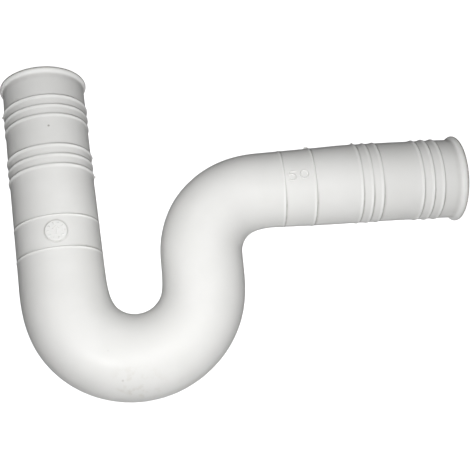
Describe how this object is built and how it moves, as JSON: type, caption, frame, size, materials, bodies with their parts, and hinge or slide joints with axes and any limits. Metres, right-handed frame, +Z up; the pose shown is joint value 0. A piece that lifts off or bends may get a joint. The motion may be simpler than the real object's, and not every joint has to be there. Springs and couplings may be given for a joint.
{
  "type": "flexible sink trap",
  "caption": "One-piece S-shaped waste trap tube in soft white plastic, with a deep U-bend, ribbed push-on cuffs and flared mouths.",
  "frame": {"origin": "under the middle of the tube's box, on the surface that it lies on", "axes": "+X along the outlet leg towards its mouth, +Y up the inlet leg towards its mouth, +Z up from the surface that the tube lies on"},
  "size_m": [0.2764, 0.2056, 0.0534],
  "materials": {
    "soft_white_plastic": "satin, moulded, slightly soft"
  },
  "bodies": {
    "root": {"trap_tube": "soft_white_plastic"}
  },
  "joints": []
}
